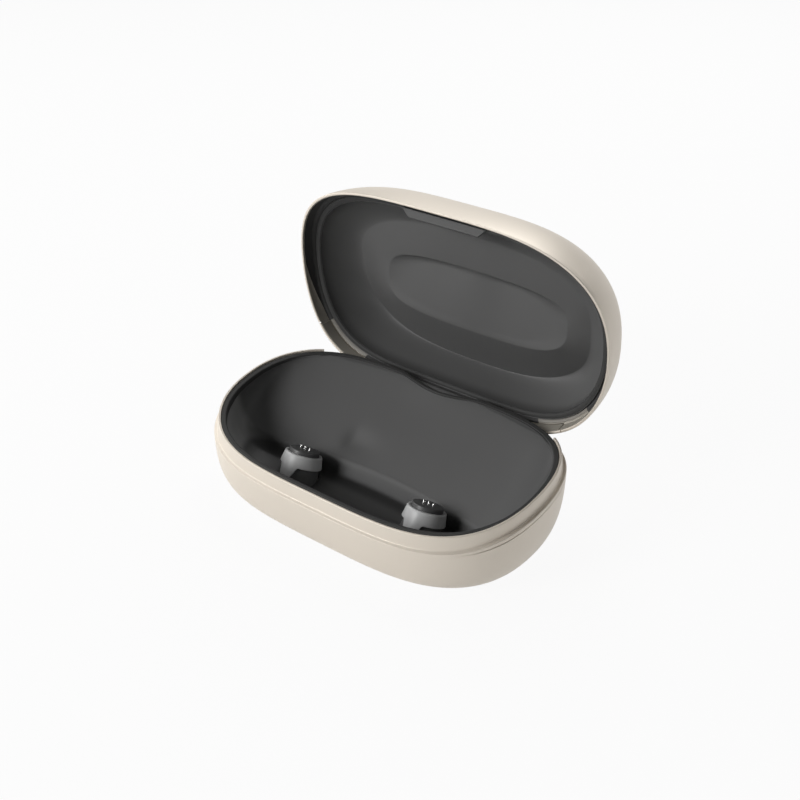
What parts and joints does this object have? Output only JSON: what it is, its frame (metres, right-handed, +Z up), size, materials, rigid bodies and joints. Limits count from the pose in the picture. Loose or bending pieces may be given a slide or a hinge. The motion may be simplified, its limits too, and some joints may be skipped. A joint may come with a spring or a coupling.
{
  "type": "hearing aid charging case",
  "caption": "Rounded clamshell charging case for hearing aids with a dark ramped tray, leaning contact posts with sprung pins and a hinged domed lid.",
  "frame": {"origin": "middle of the flat face that the case rests on", "axes": "+X along the length of the case, to the right seen from the front, -Y to the front, +Y to the hinge side, +Z up"},
  "size_m": [0.1, 0.0787, 0.0764],
  "materials": {
    "shell_cream": "satin",
    "liner_charcoal": "matte",
    "clip_grey": "satin",
    "cap_grey": "satin",
    "steel": "satin",
    "pin_metal": "polished",
    "barrel_brass": "satin",
    "magnet_nickel": "polished",
    "board_green": "satin",
    "chip_black": "matte",
    "cell_foil": "satin",
    "foam_black": "matte",
    "flex_amber": "satin",
    "foot_rubber": "matte"
  },
  "bodies": {
    "base": {"base_shell": "shell_cream", "base_collar": "shell_cream", "base_liner": "liner_charcoal", "foot_pad": "foot_rubber", "base_screws": "steel", "main_board": "board_green", "board_chips": "chip_black", "board_screws": "steel", "battery_cell": "cell_foil", "battery_pad": "foam_black", "usb_socket": "steel", "usb_tongue": "chip_black", "post_left": "liner_charcoal", "post_right": "liner_charcoal", "post_clip_left": "clip_grey", "post_clip_right": "clip_grey", "post_cap_left": "cap_grey", "post_cap_right": "cap_grey", "contact_board_left": "board_green", "contact_board_right": "board_green", "pin_barrels_left": "barrel_brass", "pin_barrels_right": "barrel_brass", "flex_left": "flex_amber", "flex_right": "flex_amber", "base_magnets": "magnet_nickel", "hinge_bracket": "liner_charcoal", "hinge_pin": "steel", "hinge_screws": "steel"},
    "lid": {"lid_shell": "shell_cream", "lid_rim": "shell_cream", "lid_liner": "liner_charcoal", "lid_rear_cover": "shell_cream", "lid_catch_block": "cap_grey", "lid_magnets": "magnet_nickel"},
    "pin_left_1": {"contact_pin_left_1": "pin_metal"},
    "pin_left_2": {"contact_pin_left_2": "pin_metal"},
    "pin_left_3": {"contact_pin_left_3": "pin_metal"},
    "pin_right_1": {"contact_pin_right_1": "pin_metal"},
    "pin_right_2": {"contact_pin_right_2": "pin_metal"},
    "pin_right_3": {"contact_pin_right_3": "pin_metal"}
  },
  "joints": [
    {"name": "lid_hinge", "type": "hinge", "parent": "base", "child": "lid", "pos_m": [0, 0.02605, 0.02034], "axis": [1, 0, 0], "range_deg": [0, 91.3]},
    {"name": "pin_left_1_press", "type": "slide", "parent": "base", "child": "pin_left_1", "axis": [0, 0.454, 0.891], "range_m": [-0.0007, 0], "stiffness_N_per_m": 600, "springref_m": 0.0005},
    {"name": "pin_left_2_press", "type": "slide", "parent": "base", "child": "pin_left_2", "axis": [0, 0.454, 0.891], "range_m": [-0.0007, 0], "stiffness_N_per_m": 600, "springref_m": 0.0005},
    {"name": "pin_left_3_press", "type": "slide", "parent": "base", "child": "pin_left_3", "axis": [0, 0.454, 0.891], "range_m": [-0.0007, 0], "stiffness_N_per_m": 600, "springref_m": 0.0005},
    {"name": "pin_right_1_press", "type": "slide", "parent": "base", "child": "pin_right_1", "axis": [0, 0.454, 0.891], "range_m": [-0.0007, 0], "stiffness_N_per_m": 600, "springref_m": 0.0005},
    {"name": "pin_right_2_press", "type": "slide", "parent": "base", "child": "pin_right_2", "axis": [0, 0.454, 0.891], "range_m": [-0.0007, 0], "stiffness_N_per_m": 600, "springref_m": 0.0005},
    {"name": "pin_right_3_press", "type": "slide", "parent": "base", "child": "pin_right_3", "axis": [0, 0.454, 0.891], "range_m": [-0.0007, 0], "stiffness_N_per_m": 600, "springref_m": 0.0005}
  ]
}
